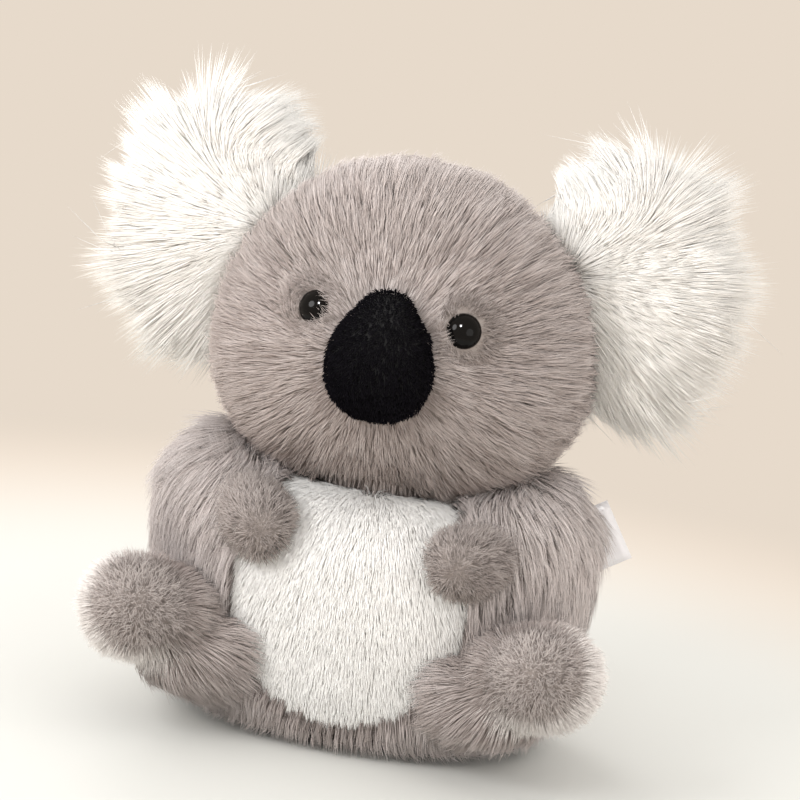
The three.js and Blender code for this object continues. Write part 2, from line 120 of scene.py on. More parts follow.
def stuffed(name, nodes, grid, slack, puff):
    """CAD nodes as one closed skin, shrunk by slack and blown up as roomy cloth by at most puff."""
    skin = joined(name, nodes)
    shaped(
        skin,
        ("REMESH", {"mode": "VOXEL", "voxel_size": grid}),
        ("SMOOTH", {"factor": 0.5, "iterations": 6}),
        ("DISPLACE", {"strength": -slack, "mid_level": 0.0}),
    )
    limp, outward = places(skin)
    blown = limp + outward * puff
    cloth = skin.modifiers.new("Cloth", "CLOTH")
    cloth.settings.use_pressure = True
    cloth.settings.uniform_pressure_force = CLOTH_PRESSURE
    cloth.settings.shrink_min = -CLOTH_ROOM * puff / np.ptp(limp, axis=0).min()
    cloth.settings.effector_weights.gravity = 0
    for step in range(CLOTH_FRAMES):
        bpy.context.scene.frame_set(step + 1)
    shaped(skin)
    bpy.context.scene.frame_set(1)
    grown = places(skin)[0] - limp
    far = np.linalg.norm(grown, axis=1, keepdims=True)
    blown = limp + grown * np.minimum(1, puff / np.maximum(far, 1e-9))
    return shaped(put(skin, blown), ("SUBSURF", {"levels": 1}))


def surface(nodes):
    """A search tree over the faces of CAD nodes."""
    form = bmesh.new()
    for node in nodes:
        form.from_mesh(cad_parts[node].data)
    found = BVHTree.FromBMesh(form)
    form.free()
    return found


def panels(skin, nodes):
    """The skin cut into one open panel for each CAD node, where a face goes to its nearest node."""
    trees = [surface([node]) for node in nodes]
    centres = [face.center for face in skin.data.polygons]
    nearest = np.argmin([[tree.find_nearest(c)[3] for c in centres] for tree in trees], axis=0)
    made = []
    for index, node in enumerate(nodes):
        form = bmesh.new()
        form.from_mesh(skin.data)
        form.faces.ensure_lookup_table()
        rest = [form.faces[i] for i in np.flatnonzero(nearest != index)]
        bmesh.ops.delete(form, geom=rest, context="FACES")
        made.append(built(node + "_skin", form))
    bpy.data.objects.remove(skin)
    return made


def linear(code):
    """An sRGB hex colour as linear red, green, blue and alpha."""
    parts = [int(code[i : i + 2], 16) / 255 for i in (0, 2, 4)]
    return [p / 12.92 if p <= 0.04045 else ((p + 0.055) / 1.055) ** 2.4 for p in parts] + [1.0]


def add_node(tree, kind, links=None, **settings):
    """A node with its settings, and its sockets linked or set; a node there means its first output."""
    node = tree.nodes.new(kind)
    for key, value in settings.items():
        setattr(node, key, value)
    for socket, value in (links or {}).items():
        if isinstance(value, bpy.types.Node):
            value = value.outputs[0]
        if isinstance(value, bpy.types.NodeSocket):
            tree.links.new(value, node.inputs[socket])
        else:
            node.inputs[socket].default_value = value
    return node


def material(name):
    """An empty node material and its tree."""
    made = bpy.data.materials.new(name)
    made.use_nodes = True
    made.node_tree.nodes.clear()
    return made, made.node_tree


def knit(name, dark, light, pitch):
    """A knitted backing: matt ribs of loops, a soft grain between the strands of its pile."""
    # Loops pitch metres apart are too fine to show, so the ribs are drawn about six times as coarse.
    made, tree = material(name)
    ribs = add_node(
        tree,
        "ShaderNodeTexWave",
        {
            "Vector": add_node(tree, "ShaderNodeTexCoord").outputs["Object"],
            "Scale": 1 / (20 * pitch),
            "Distortion": 0.6,
            "Detail": 1.0,
        },
    )
    tint = add_node(
        tree,
        "ShaderNodeMix",
        {"Factor": ribs.outputs["Fac"], "A": linear(dark), "B": linear(light)},
        data_type="RGBA",
    )
    cloth = add_node(
        tree, "ShaderNodeBsdfPrincipled", {"Base Color": tint.outputs["Result"], "Roughness": 0.9}
    )
    add_node(tree, "ShaderNodeOutputMaterial", {"Surface": cloth.outputs["BSDF"]})
    return made


def worn(piece, body, node, finish):
    """The piece in its finish, riding its body in place of its CAD node."""
    piece.data.materials.append(finish)
    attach(piece, body)
    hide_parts(node)
    return piece


BACKING_THICK = 0.0008


def backed(panel, body, node, fabric):
    """The panel as a closed sheet of backing fabric, filled out by what is in it."""
    shaped(panel, ("SOLIDIFY", {"thickness": BACKING_THICK, "offset": -1.0}))
    worn(panel, body, node, fabric)


LOOP_PITCH = 0.0012
grey_backing = knit("knitted grey polyester backing", "968C86", "A29892", pitch=LOOP_PITCH)
white_backing = knit("knitted white polyester backing", "F4F1EB", "FBF9F5", pitch=LOOP_PITCH)

# Each pair says where a change of form starts and where it is full.
CHIN_HEIGHTS = (0.055, 0.072)
CHIN_RISE = 0.003
HUNCH_HEIGHTS = (0.035, 0.062)
HUNCH_SIDES = (0.026, 0.048)
HUNCH_DEPTHS = (0.036, 0.002)
HUNCH_OUT = 0.005
HUNCH_BACK = 0.002
HUNCH_UP = 0.011
body_skin = stuffed("body_skin", ["body_stuffing", "pellet_bag"], grid=0.005, slack=0.0005, puff=0.005)
spots = places(body_skin)[0]
spots[:, 2] += CHIN_RISE * smooth(spots[:, 2], *CHIN_HEIGHTS)
hunch = smooth(spots[:, 2], *HUNCH_HEIGHTS) * smooth(np.abs(spots[:, 0]), *HUNCH_SIDES)
hunch *= smooth(spots[:, 1], *HUNCH_DEPTHS)
shoulders = np.outer(hunch, (0.0, HUNCH_BACK, HUNCH_UP))
shoulders[:, 0] = hunch * np.sign(spots[:, 0]) * HUNCH_OUT
back_guide, belly_guide, seat_guide = panels(
    put(body_skin, spots + shoulders), ["body_back_panel", "belly_panel", "seat_panel"]
)


# Body fur: long grey polyester pile on the back and seat, dense short white pile on the belly.
# Each strand is a bent spindle set on the backing, leaning with the comb and drawn into locks.
pile_tree = bpy.data.node_groups.new("Pile of strands", "GeometryNodeTree")
for socket, kind in (
    ("Guide", "Geometry"),
    ("Strands per square metre", "Float"),
    ("Strand width", "Float"),
    ("Arch", "Float"),
    ("Stray", "Float"),
    ("Lock size", "Float"),
    ("Lock pull", "Float"),
    ("Lock stray", "Float"),
    ("Lock unevenness", "Float"),
    ("Roundness", "Float"),
    ("Both sides lit", "Float"),
    ("Tone spread", "Float"),
    ("Seed", "Int"),
    ("Fibre", "Material"),
):
    pile_tree.interface.new_socket(socket, in_out="INPUT", socket_type="NodeSocket" + kind)
pile_tree.interface.new_socket("Pile", in_out="OUTPUT", socket_type="NodeSocketGeometry")
given = add_node(pile_tree, "NodeGroupInput").outputs
GUIDES = ("comb", "pile", "stand", "tone", "thick")
STRAND = ("root", "rise", "tip", "shade", "needle")
VECTORS = ("comb", "root", "rise", "tip", "needle")
read = {
    key: add_node(
        pile_tree,
        "GeometryNodeInputNamedAttribute",
        {"Name": key},
        data_type="FLOAT_VECTOR" if key in VECTORS else "FLOAT",
    ).outputs[0]
    for key in GUIDES + STRAND
}
MATH = "ShaderNodeMath"
VECTOR_MATH = "ShaderNodeVectorMath"

# Roots are scattered on the backing, and so are the middles of the locks that the strands gather into.
density = add_node(
    pile_tree, MATH, {0: given["Strands per square metre"], 1: read["thick"]}, operation="MULTIPLY"
)
roots = add_node(
    pile_tree,
    "GeometryNodeDistributePointsOnFaces",
    {"Mesh": given["Guide"], "Density": density, "Seed": given["Seed"]},
).outputs
lock_density = add_node(pile_tree, MATH, {0: given["Lock size"], 1: -2.0}, operation="POWER")
locks = add_node(
    pile_tree,
    "GeometryNodeDistributePointsOnFaces",
    {"Mesh": given["Guide"], "Density": lock_density, "Seed": 5},
)
lock = add_node(pile_tree, "GeometryNodeProximity", {"Geometry": locks}, target_element="POINTS")
lock_mark = add_node(pile_tree, VECTOR_MATH, {0: lock, "Scale": 1000.0}, operation="SCALE")
habit = add_node(
    pile_tree, "ShaderNodeTexWhiteNoise", {"Vector": lock_mark}, noise_dimensions="3D"
).outputs

# Each strand has its own length, way and shade, partly in common with the others of its lock.
SHORTEST = 0.7
LONGEST = 1.1
FLECK = 0.6
LOCK_FLECK = 1.4
spot = add_node(pile_tree, "GeometryNodeInputPosition")
stray = add_node(
    pile_tree,
    "FunctionNodeRandomValue",
    {0: (-1, -1, -1), 1: (1, 1, 1), "Seed": 11},
    data_type="FLOAT_VECTOR",
)
vary = add_node(pile_tree, "FunctionNodeRandomValue", {2: SHORTEST, 3: LONGEST, "Seed": 12}).outputs[1]
fleck = add_node(pile_tree, "FunctionNodeRandomValue", {2: -FLECK, 3: FLECK, "Seed": 13}).outputs[1]
in_common = add_node(pile_tree, MATH, {0: habit["Value"], 1: 0.5}, operation="SUBTRACT")
uneven = add_node(
    pile_tree, MATH, {0: in_common, 1: given["Lock unevenness"], 2: vary}, operation="MULTIPLY_ADD"
)
length = add_node(pile_tree, MATH, {0: read["pile"], 1: uneven}, operation="MULTIPLY")
upward = add_node(pile_tree, VECTOR_MATH, {0: roots["Normal"], "Scale": read["stand"]}, operation="SCALE")
lying = add_node(pile_tree, MATH, {0: 1.0, 1: read["stand"]}, operation="SUBTRACT")
onward = add_node(pile_tree, VECTOR_MATH, {0: read["comb"], "Scale": lying}, operation="SCALE")
lean = add_node(pile_tree, VECTOR_MATH, {0: upward, 1: onward}, operation="ADD")
lean = add_node(pile_tree, VECTOR_MATH, {0: lean}, operation="NORMALIZE")
stray = add_node(pile_tree, VECTOR_MATH, {0: stray, "Scale": given["Stray"]}, operation="SCALE")
lean = add_node(pile_tree, VECTOR_MATH, {0: lean, 1: stray}, operation="ADD")
swerve = add_node(pile_tree, VECTOR_MATH, {0: habit["Color"], 1: (0.5, 0.5, 0.5)}, operation="SUBTRACT")
swerve = add_node(pile_tree, VECTOR_MATH, {0: swerve, "Scale": given["Lock stray"]}, operation="SCALE")
lean = add_node(pile_tree, VECTOR_MATH, {0: lean, 1: swerve}, operation="ADD")
lean = add_node(pile_tree, VECTOR_MATH, {0: lean}, operation="NORMALIZE")
lean = add_node(pile_tree, VECTOR_MATH, {0: lean, "Scale": length}, operation="SCALE")
pull = add_node(pile_tree, VECTOR_MATH, {0: lock, 1: spot}, operation="SUBTRACT")
pull = add_node(pile_tree, VECTOR_MATH, {0: pull, "Scale": given["Lock pull"]}, operation="SCALE")
tip = add_node(pile_tree, VECTOR_MATH, {0: lean, 1: pull}, operation="ADD")
arch = add_node(pile_tree, MATH, {0: length, 1: given["Arch"]}, operation="MULTIPLY")
rise = add_node(pile_tree, VECTOR_MATH, {0: roots["Normal"], "Scale": arch}, operation="SCALE")
fleck = add_node(pile_tree, MATH, {0: in_common, 1: LOCK_FLECK, 2: fleck}, operation="MULTIPLY_ADD")
shade = add_node(
    pile_tree, MATH, {0: fleck, 1: given["Tone spread"], 2: read["tone"]}, operation="MULTIPLY_ADD"
)
strands = roots["Points"]
for key, value in (("root", spot), ("rise", rise), ("tip", tip), ("shade", shade)):
    strands = add_node(
        pile_tree,
        "GeometryNodeStoreNamedAttribute",
        {"Geometry": strands, "Name": key, "Value": value},
        data_type="FLOAT_VECTOR" if key in VECTORS else "FLOAT",
    )

# One strand to bend is a three-sided spindle, one long, whose lower end is drawn to a point as well.
cone = add_node(
    pile_tree,
    "GeometryNodeMeshCone",
    {"Vertices": 3, "Side Segments": 2, "Radius Top": 0.0, "Radius Bottom": 2.0, "Depth": 1.0},
    fill_type="NONE",
)
drawn = add_node(pile_tree, VECTOR_MATH, {0: spot, 1: (0.0, 0.0, 1.0)}, operation="MULTIPLY")
height = add_node(pile_tree, "ShaderNodeSeparateXYZ", {0: spot}).outputs["Z"]
low = add_node(pile_tree, MATH, {0: height, 1: 0.1}, operation="LESS_THAN")
spindle = add_node(
    pile_tree, "GeometryNodeSetPosition", {"Geometry": cone, "Selection": low, "Position": drawn}
)
spindle = add_node(pile_tree, "GeometryNodeMergeByDistance", {"Geometry": spindle, "Distance": 0.01})
spindle = add_node(
    pile_tree,
    "GeometryNodeStoreNamedAttribute",
    {"Geometry": spindle, "Name": "needle", "Value": spot},
    data_type="FLOAT_VECTOR",
)
strands = add_node(pile_tree, "GeometryNodeInstanceOnPoints", {"Points": strands, "Instance": spindle})
strands = add_node(pile_tree, "GeometryNodeRealizeInstances", {"Geometry": strands})

# Each spindle rises from its root, arches over towards its tip and stays above the floor.
TIP_DROOP = 1.4
FLOOR_GAP = 0.0003
across, deep, along = add_node(pile_tree, "ShaderNodeSeparateXYZ", {0: read["needle"]}).outputs
to_go = add_node(pile_tree, MATH, {0: 1.0, 1: along}, operation="SUBTRACT")
middle = add_node(pile_tree, MATH, {0: along, 1: to_go}, operation="MULTIPLY")
droop = add_node(pile_tree, MATH, {0: along, 1: TIP_DROOP}, operation="POWER")
bow = add_node(pile_tree, VECTOR_MATH, {0: read["rise"], "Scale": middle}, operation="SCALE")
reach = add_node(pile_tree, VECTOR_MATH, {0: read["tip"], "Scale": droop}, operation="SCALE")
bend = add_node(pile_tree, VECTOR_MATH, {0: bow, 1: reach}, operation="ADD")
side = add_node(pile_tree, VECTOR_MATH, {0: read["tip"], 1: read["rise"]}, operation="CROSS_PRODUCT")
side = add_node(pile_tree, VECTOR_MATH, {0: side}, operation="NORMALIZE")
depth = add_node(pile_tree, VECTOR_MATH, {0: read["tip"], 1: side}, operation="CROSS_PRODUCT")
depth = add_node(pile_tree, VECTOR_MATH, {0: depth}, operation="NORMALIZE")
half = add_node(pile_tree, MATH, {0: given["Strand width"], 1: 0.5}, operation="MULTIPLY")
broad = add_node(pile_tree, MATH, {0: across, 1: half}, operation="MULTIPLY")
broad = add_node(pile_tree, VECTOR_MATH, {0: side, "Scale": broad}, operation="SCALE")
stout = add_node(pile_tree, MATH, {0: deep, 1: half}, operation="MULTIPLY")
stout = add_node(pile_tree, VECTOR_MATH, {0: depth, "Scale": stout}, operation="SCALE")
girth = add_node(pile_tree, VECTOR_MATH, {0: broad, 1: stout}, operation="ADD")
place = add_node(pile_tree, VECTOR_MATH, {0: read["root"], 1: bend}, operation="ADD")
place = add_node(pile_tree, VECTOR_MATH, {0: place, 1: girth}, operation="ADD")
place = add_node(pile_tree, VECTOR_MATH, {0: place, 1: (-9.0, -9.0, FLOOR_GAP)}, operation="MAXIMUM")
strands = add_node(pile_tree, "GeometryNodeSetPosition", {"Geometry": strands, "Position": place})

# The fibre's colour is read from a UV map: the strand's tone across, and the way from root to tip along.
PALEST = 0.98
DARKEST = 0.02
STRIP_WIDTH = 0.006
STRIP_LENGTH = 0.98
STRIP_START = 0.01
tone = add_node(pile_tree, MATH, {0: read["shade"], 1: DARKEST}, operation="MAXIMUM")
tone = add_node(pile_tree, MATH, {0: tone, 1: PALEST}, operation="MINIMUM")
tone = add_node(pile_tree, MATH, {0: across, 1: STRIP_WIDTH, 2: tone}, operation="MULTIPLY_ADD")
run = add_node(pile_tree, MATH, {0: along, 1: STRIP_LENGTH, 2: STRIP_START}, operation="MULTIPLY_ADD")
strands = add_node(
    pile_tree,
    "GeometryNodeStoreNamedAttribute",
    {
        "Geometry": strands,
        "Name": "OFBake",
        "Value": add_node(pile_tree, "ShaderNodeCombineXYZ", {0: tone, 1: run}),
    },
    data_type="FLOAT2",
    domain="CORNER",
)

# The normals lie between the backing's and the strand's own, so that the pile shades as one soft form.
TURN_SHARPNESS = 4.0
strands = add_node(pile_tree, "GeometryNodeSetShadeSmooth", {"Geometry": strands})
own_normal = add_node(pile_tree, "GeometryNodeInputNormal")
face_normal = add_node(
    pile_tree,
    "GeometryNodeFieldOnDomain",
    {"Value": own_normal},
    domain="FACE",
    data_type="FLOAT_VECTOR",
)
skin_normal = add_node(pile_tree, VECTOR_MATH, {0: read["rise"]}, operation="NORMALIZE")
facing = add_node(
    pile_tree, VECTOR_MATH, {0: face_normal, 1: skin_normal}, operation="DOT_PRODUCT"
).outputs["Value"]
turned = add_node(pile_tree, MATH, {0: facing, 1: TURN_SHARPNESS}, operation="MULTIPLY")
turned = add_node(pile_tree, MATH, {0: turned, 1: -1.0}, operation="MAXIMUM")
turned = add_node(pile_tree, MATH, {0: turned, 1: 1.0}, operation="MINIMUM")
turned = add_node(pile_tree, MATH, {0: turned, 1: 1.0}, operation="SUBTRACT")
turned = add_node(
    pile_tree, MATH, {0: turned, 1: given["Both sides lit"], 2: 1.0}, operation="MULTIPLY_ADD"
)
flat_part = add_node(pile_tree, VECTOR_MATH, {0: skin_normal, "Scale": turned}, operation="SCALE")
round_part = add_node(
    pile_tree, VECTOR_MATH, {0: own_normal, "Scale": given["Roundness"]}, operation="SCALE"
)
soft_normal = add_node(pile_tree, VECTOR_MATH, {0: flat_part, 1: round_part}, operation="ADD")
soft_normal = add_node(pile_tree, VECTOR_MATH, {0: soft_normal}, operation="NORMALIZE")
strands = add_node(
    pile_tree,
    "GeometryNodeSetMeshNormal",
    {"Mesh": strands, "Custom Normal": soft_normal},
    mode="FREE",
    domain="CORNER",
)
strands = add_node(
    pile_tree, "GeometryNodeSetMaterial", {"Geometry": strands, "Material": given["Fibre"]}
)
add_node(pile_tree, "NodeGroupOutput", {"Pile": strands})


def groom(guide, comb, pile, stand, tone=0.5, thick=1.0):
    """Comb, strand length, stand, tone and share of strands, written on the guide's vertices."""
    count = len(guide.data.vertices)
    normal = places(guide)[1]
    flat = np.broadcast_to(comb, (count, 3))
    flat = flat - normal * np.sum(flat * normal, axis=1, keepdims=True)
    flat = flat / np.maximum(np.linalg.norm(flat, axis=1, keepdims=True), 1e-9)
    for key, value in zip(GUIDES, (flat, pile, stand, tone, thick)):
        kind, field = ("FLOAT_VECTOR", "vector") if key in VECTORS else ("FLOAT", "value")
        whole = np.broadcast_to(value, flat.shape if key in VECTORS else count).astype(np.float32)
        marks = guide.data.attributes.get(key) or guide.data.attributes.new(key, kind, "POINT")
        marks.data.foreach_set(field, whole.ravel())


STRANDS_A_PIECE = 30000


def furred(name, guide, body, per_mm2, finish):
    """The fur on a guide, in pieces of about STRANDS_A_PIECE at most, each with its own seed."""
    sockets = {item.name: item.identifier for item in pile_tree.interface.items_tree}
    covered = np.empty(len(guide.data.vertices), np.float32)
    guide.data.attributes["thick"].data.foreach_get("value", covered)
    area = sum(face.area for face in guide.data.polygons) * covered.mean()
    layers = math.ceil(area * per_mm2 * 1e6 / STRANDS_A_PIECE)
    for layer in range(layers):
        holder = added(name, guide.data.copy())
        pile = holder.modifiers.new("Pile", "NODES")
        pile.node_group = pile_tree
        for key, value in finish.items():
            pile[sockets[key]] = value
        pile[sockets["Strands per square metre"]] = per_mm2 * 1e6 / layers
        pile[sockets["Seed"]] = 20 + layer
        graph = bpy.context.evaluated_depsgraph_get()
        mesh = bpy.data.meshes.new_from_object(holder.evaluated_get(graph))
        bpy.data.objects.remove(holder)
        for key in GUIDES + STRAND:
            mesh.attributes.remove(mesh.attributes[key])
        piece = added(f"{name}_{layer + 1}", mesh)
        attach(piece, body)


def fibre(name, dark, light, gloss):
    """Polyester pile fibre: nearly matt, paler towards its tip, between a dark and a light shade."""
    made, tree = material(name)
    tone, along, _ = add_node(
        tree,
        "ShaderNodeSeparateXYZ",
        {0: add_node(tree, "ShaderNodeUVMap", uv_map="OFBake").outputs["UV"]},
    ).outputs
    # Towards the root the colour darkens: in part the pile's own darker undercoat, in part painted shade
    # of the strands lying over it.
    shades = []
    for colours in (dark, light):
        ramp = add_node(tree, "ShaderNodeValToRGB", {"Fac": along})
        stops = ramp.color_ramp.elements
        stops.new(0.5)
        for stop, code in zip(stops, colours):
            stop.color = linear(code)
        shades.append(ramp.outputs["Color"])
    tint = add_node(
        tree, "ShaderNodeMix", {"Factor": tone, "A": shades[0], "B": shades[1]}, data_type="RGBA"
    )
    shader = add_node(
        tree,
        "ShaderNodeBsdfPrincipled",
        {"Base Color": tint.outputs["Result"], "Roughness": 0.65, "Specular IOR Level": gloss},
    )
    add_node(tree, "ShaderNodeOutputMaterial", {"Surface": shader.outputs["BSDF"]})
    return made


grey_fur = {
    "Strand width": 0.0002,
    "Arch": 0.9,
    "Stray": 0.09,
    "Lock size": 0.0036,
    "Lock pull": 0.26,
    "Lock stray": 0.2,
    "Lock unevenness": 0.3,
    "Roundness": 0.45,
    "Both sides lit": 0.0,
    "Tone spread": 0.4,
    "Fibre": fibre(
        "grey polyester fur pile",
        dark=("746963", "9A8E89", "B2A7A3"),
        light=("938884", "C6BBB7", "E3DCDA"),
        gloss=0.3,
    ),
}
white_fur = {
    "Strand width": 0.00022,
    "Arch": 1.0,
    "Stray": 0.1,
    "Lock size": 0.003,
    "Lock pull": 0.2,
    "Lock stray": 0.16,
    "Lock unevenness": 0.2,
    "Roundness": 0.12,
    "Both sides lit": 0.0,
    "Tone spread": 0.2,
    "Fibre": fibre(
        "white polyester fur pile",
        dark=("E4E0DA", "ECE9E4", "F0EEEA"),
        light=("FDFAF5", "FFFEFC", "FFFFFD"),
        gloss=0.3,
    ),
}
plush_white = dict(
    white_fur,
    **{"Strand width": 0.00025, "Arch": 0.7, "Stray": 0.12, "Lock pull": 0.1, "Lock stray": 0.14},
)
DOWN = np.array([0.0, 0.0, -1.0])

HEM_HEIGHTS = (0.03, 0.008)
spots = places(back_guide)[0]
low = smooth(spots[:, 2], *HEM_HEIGHTS)
comb = DOWN * (1 - 0.7 * low[:, None]) + spots * (6, 6, 0)
groom(back_guide, comb, pile=0.014 - 0.004 * low, stand=0.24 + 0.12 * low, tone=0.85 - 0.4 * low)
furred("back_fur", back_guide, "torso", per_mm2=2.2, finish=grey_fur)
backed(back_guide, "torso", "body_back_panel", grey_backing)

spots = places(belly_guide)[0]
groom(belly_guide, DOWN + spots * (12, 0, 0), pile=0.0055, stand=0.15, tone=0.6)
furred("belly_fur", belly_guide, "torso", per_mm2=5.6, finish=plush_white)
backed(belly_guide, "torso", "belly_panel", white_backing)

spots = places(seat_guide)[0]
groom(seat_guide, spots * (1, 1, 0), pile=0.009, stand=0.3)
furred("seat_fur", seat_guide, "torso", per_mm2=0.8, finish=grey_fur)
backed(seat_guide, "torso", "seat_panel", grey_backing)


# Body filling: loose polyester fibre, and a calico pouch of pellets low in the seat.
# The fibre is the CAD filling, sunk below the skin and roughened; the pouch is blown up as cloth.
SUNK = 0.0012
LUMP_HEIGHT = 0.0006
LUMPS_APART = (620, 560, 680)
LUMPS_SHIFT = (0, 1, 2)


def wadding(name, node, body):
    """A CAD filling as lumpy fibre wadding, a little inside the skin."""
    made = joined(name, [node])
    shaped(
        made,
        ("REMESH", {"mode": "VOXEL", "voxel_size": 0.004}),
        ("SMOOTH", {"factor": 0.5, "iterations": 4}),
    )
    spots, outward = places(made)
    lumps = np.prod(np.sin(spots * LUMPS_APART + LUMPS_SHIFT), axis=1, keepdims=True)
    put(made, spots - outward * (SUNK + LUMP_HEIGHT * lumps))
    worn(made, body, node, batting)


# Loose fibre scatters the light: matt and white, a little cloudy from one small clump to the next.
batting, tree = material("loose polyester fibre wadding")
CLUMP = 0.00286
cloud = add_node(
    tree,
    "ShaderNodeTexNoise",
    {
        "Vector": add_node(tree, "ShaderNodeTexCoord").outputs["Object"],
        "Scale": 1 / CLUMP,
        "Detail": 4.0,
    },
)
tint = add_node(
    tree,
    "ShaderNodeMix",
    {"Factor": cloud.outputs["Fac"], "A": linear("DDDAD3"), "B": linear("F4F2ED")},
    data_type="RGBA",
)
soft = add_node(
    tree, "ShaderNodeBsdfPrincipled", {"Base Color": tint.outputs["Result"], "Roughness": 0.95}
)
add_node(tree, "ShaderNodeOutputMaterial", {"Surface": soft.outputs["BSDF"]})
wadding("body_wadding", "body_stuffing", "torso")

# Unbleached calico is matt and creamy, with its threads over and under each other in a fine check.
calico, tree = material("plain-woven unbleached calico")
THREAD_PITCH = 0.0006
checks = add_node(
    tree,
    "ShaderNodeTexChecker",
    {
        "Vector": add_node(tree, "ShaderNodeTexCoord").outputs["Object"],
        "Color1": linear("DDD3BF"),
        "Color2": linear("CFC4AE"),
        "Scale": 1 / THREAD_PITCH,
    },
)
weave = add_node(
    tree, "ShaderNodeBsdfPrincipled", {"Base Color": checks.outputs["Color"], "Roughness": 0.85}
)
add_node(tree, "ShaderNodeOutputMaterial", {"Surface": weave.outputs["BSDF"]})
pouch = stuffed("pellet_pouch", ["pellet_bag"], grid=0.004, slack=0.0012, puff=0.0009)
worn(pouch, "torso", "pellet_bag", calico)


# Care label: a bare tab of white woven satin, sewn into the seam at the right of the back.
# It is one thin strip on the middle plane of the CAD label, with a slight curl towards its free end.
# Satin's soft gloss changes from rib to rib. The ribs are drawn about six times as coarse to show.
satin, tree = material("white woven satin ribbon")
RIB_PITCH = 0.0005
ribs = add_node(
    tree,
    "ShaderNodeTexWave",
    {"Vector": add_node(tree, "ShaderNodeTexCoord").outputs["Object"], "Scale": 1 / (20 * RIB_PITCH)},
    bands_direction="Z",
)
sheen = add_node(
    tree, "ShaderNodeMapRange", {"Value": ribs.outputs["Fac"], "To Min": 0.32, "To Max": 0.45}
)
ribbon = add_node(
    tree,
    "ShaderNodeBsdfPrincipled",
    {"Base Color": linear("EEECEE"), "Roughness": sheen.outputs["Result"], "Sheen Weight": 0.2},
)
add_node(tree, "ShaderNodeOutputMaterial", {"Surface": ribbon.outputs["BSDF"]})
corners = places(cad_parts["care_label"])[0]
label_at = corners.mean(0)
axes = np.linalg.svd(corners - label_at)[2]
length_way = axes[0] * np.sign(axes[0][0])
width_way = axes[1]
thin_way = np.cross(length_way, width_way)
LABEL_LONG = 0.033
LABEL_WIDE = 0.020
LABEL_THICK = 0.0004
LABEL_CURL = 0.0022
LABEL_STEPS = 12
LABEL_STRIPS = 6
form = bmesh.new()
rows = []
for step in range(LABEL_STEPS + 1):
    run = step / LABEL_STEPS
    line = label_at + length_way * LABEL_LONG * (run - 0.5) + thin_way * LABEL_CURL * run * run
    sideways = [width_way * LABEL_WIDE * (k / LABEL_STRIPS - 0.5) for k in range(LABEL_STRIPS + 1)]
    rows.append([form.verts.new(line + offset) for offset in sideways])
for near, far in zip(rows, rows[1:]):
    for k in range(LABEL_STRIPS):
        form.faces.new((near[k], near[k + 1], far[k + 1], far[k]))
label = built("label_tab", form)
shaped(label, ("SOLIDIFY", {"thickness": LABEL_THICK, "offset": 0.0}))
worn(label, "torso", "care_label", satin)


# Neck: the stuffed plug between body and head, in grey backing with its own short ring of fur.
# It turns with the neck, so the gap under the chin stays furred at every pose.
neck_skin = stuffed("neck_skin", ["neck_plug"], grid=0.004, slack=0.0015, puff=0.0008)
RING_BOTTOM = (0.066, 0.072)
RING_TOP = (0.094, 0.088)
spots = places(neck_skin)[0]
ring = smooth(spots[:, 2], *RING_BOTTOM) * smooth(spots[:, 2], *RING_TOP)
groom(neck_skin, DOWN, pile=0.008, stand=0.4, tone=0.4, thick=ring)
furred("neck_fur", neck_skin, "neck", per_mm2=1.3, finish=grey_fur)
worn(neck_skin, "neck", "neck_plug", grey_backing)


# Head skin and fur: grey backing in a face and a back panel, with pile that radiates from the nose.
# The strands shorten towards the nose and eyes and turn downwards on the back of the head. Their tone is
# darker below the nose and under the chin as painted shade, paler on top of the head in part as painted
# highlight, and round each eye lies a ring of dark short pile, partly dark fur and partly painted shade
# of the eye's hollow.
def centre(node):
    """The middle of a CAD node's box."""
    low_corner, high_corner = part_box(node)
    return np.array((low_corner + high_corner) / 2)


def unit(way):
    """Directions at length 1."""
    return way / np.maximum(np.linalg.norm(way, axis=-1, keepdims=True), 1e-9)


plush_grey = {
    "Strand width": 0.00022,
    "Arch": 1.0,
    "Stray": 0.42,
    "Lock size": 0.0024,
    "Lock pull": 0.3,
    "Lock stray": 0.4,
    "Lock unevenness": 0.3,
    "Roundness": 0.5,
    "Both sides lit": 0.0,
    "Tone spread": 0.42,
    "Fibre": fibre(
        "short grey polyester plush pile",
        dark=("5A524D", "857B77", "A89F9B"),
        light=("7A716C", "AEA49F", "D3CAC6"),
        gloss=0.2,
    ),
}

JAW_HEIGHTS = (0.1, 0.088)
JAW_DROP = 0.003
SEAT_EDGE = (0.013, 0.007)
SEAT_BEHIND = 0.02
SEAT_RISE = 0.0004
head_skin = stuffed(
    "head_skin",
    ["head_stuffing", "eye_washer_left", "eye_washer_right"],
    grid=0.005,
    slack=0.0005,
    puff=0.005,
)
spots = places(head_skin)[0]
eyes_at = [centre("eye_left"), centre("eye_right")]
for hand, eye_at in zip(("left", "right"), eyes_at):
    through = unit(eye_at - centre("eye_washer_" + hand))
    off = spots - eye_at
    aside = np.linalg.norm(off - np.outer(off @ through, through), axis=1)
    near = smooth(aside, *SEAT_EDGE) * (off @ through > -SEAT_BEHIND)
    spots += np.outer(near * SEAT_RISE, through)
spots[:, 2] -= JAW_DROP * smooth(spots[:, 2], *JAW_HEIGHTS)
face_guide, nape_guide = panels(put(head_skin, spots), ["face_panel", "head_back_panel"])
nose_at = centre("nose_cover")
nose_half = np.array(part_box("nose_cover")[1]) - nose_at
